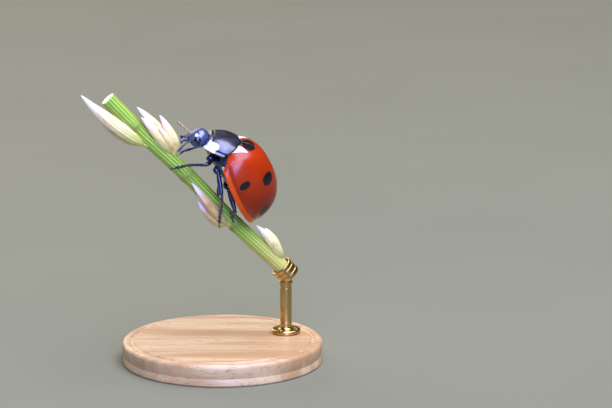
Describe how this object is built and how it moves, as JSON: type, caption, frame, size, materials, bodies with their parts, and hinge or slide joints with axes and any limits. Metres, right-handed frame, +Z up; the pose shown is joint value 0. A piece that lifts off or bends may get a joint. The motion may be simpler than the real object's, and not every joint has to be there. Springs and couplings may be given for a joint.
{
  "type": "ladybird",
  "caption": "Life-size seven-spot ladybird climbing a short cut length of flowering grass, held on a plain round stand.",
  "frame": {"origin": "centre of the underside of the stand's round base", "axes": "+Z up; -Y faces a viewer who sees the insect's left side; the stem climbs towards -X"},
  "size_m": [0.0169, 0.0144, 0.0197],
  "materials": {
    "wing_case": "glossy orange-red chitin with black spots and white patches",
    "black_chitin": "glossy blue-black chitin",
    "eye_lens": "wet black, finely faceted",
    "grass_stem": "satin green, finely ribbed along its length",
    "grass_husk": "papery straw with green and purple-white flushes",
    "beech_wood": "turned beech, satin oiled",
    "brass": "satin brass"
  },
  "bodies": {
    "root": {"abdomen": "black_chitin", "antenna_left": "black_chitin", "antenna_right": "black_chitin", "elytron_left": "wing_case", "elytron_right": "wing_case", "eye_left": "eye_lens", "eye_right": "eye_lens", "head": "black_chitin", "labrum": "black_chitin", "leg_front_left_femur": "black_chitin", "leg_front_left_tarsus": "black_chitin", "leg_front_left_tibia": "black_chitin", "leg_front_right_femur": "black_chitin", "leg_front_right_tarsus": "black_chitin", "leg_front_right_tibia": "black_chitin", "leg_hind_left_femur": "black_chitin", "leg_hind_left_tarsus": "black_chitin", "leg_hind_left_tibia": "black_chitin", "leg_hind_right_femur": "black_chitin", "leg_hind_right_tarsus": "black_chitin", "leg_hind_right_tibia": "black_chitin", "leg_middle_left_femur": "black_chitin", "leg_middle_left_tarsus": "black_chitin", "leg_middle_left_tibia": "black_chitin", "leg_middle_right_femur": "black_chitin", "leg_middle_right_tarsus": "black_chitin", "leg_middle_right_tibia": "black_chitin", "palp_left": "black_chitin", "palp_right": "black_chitin", "perch_spikelet_aft": "grass_husk", "perch_spikelet_fore": "grass_husk", "perch_spikelet_near": "grass_husk", "perch_spikelet_under": "grass_husk", "perch_stem": "grass_stem", "pronotum": "black_chitin", "prothorax": "black_chitin", "scutellum": "black_chitin", "stand_base": "beech_wood", "stand_ferrule": "brass", "stand_rod": "brass", "thorax": "black_chitin"}
  },
  "joints": []
}
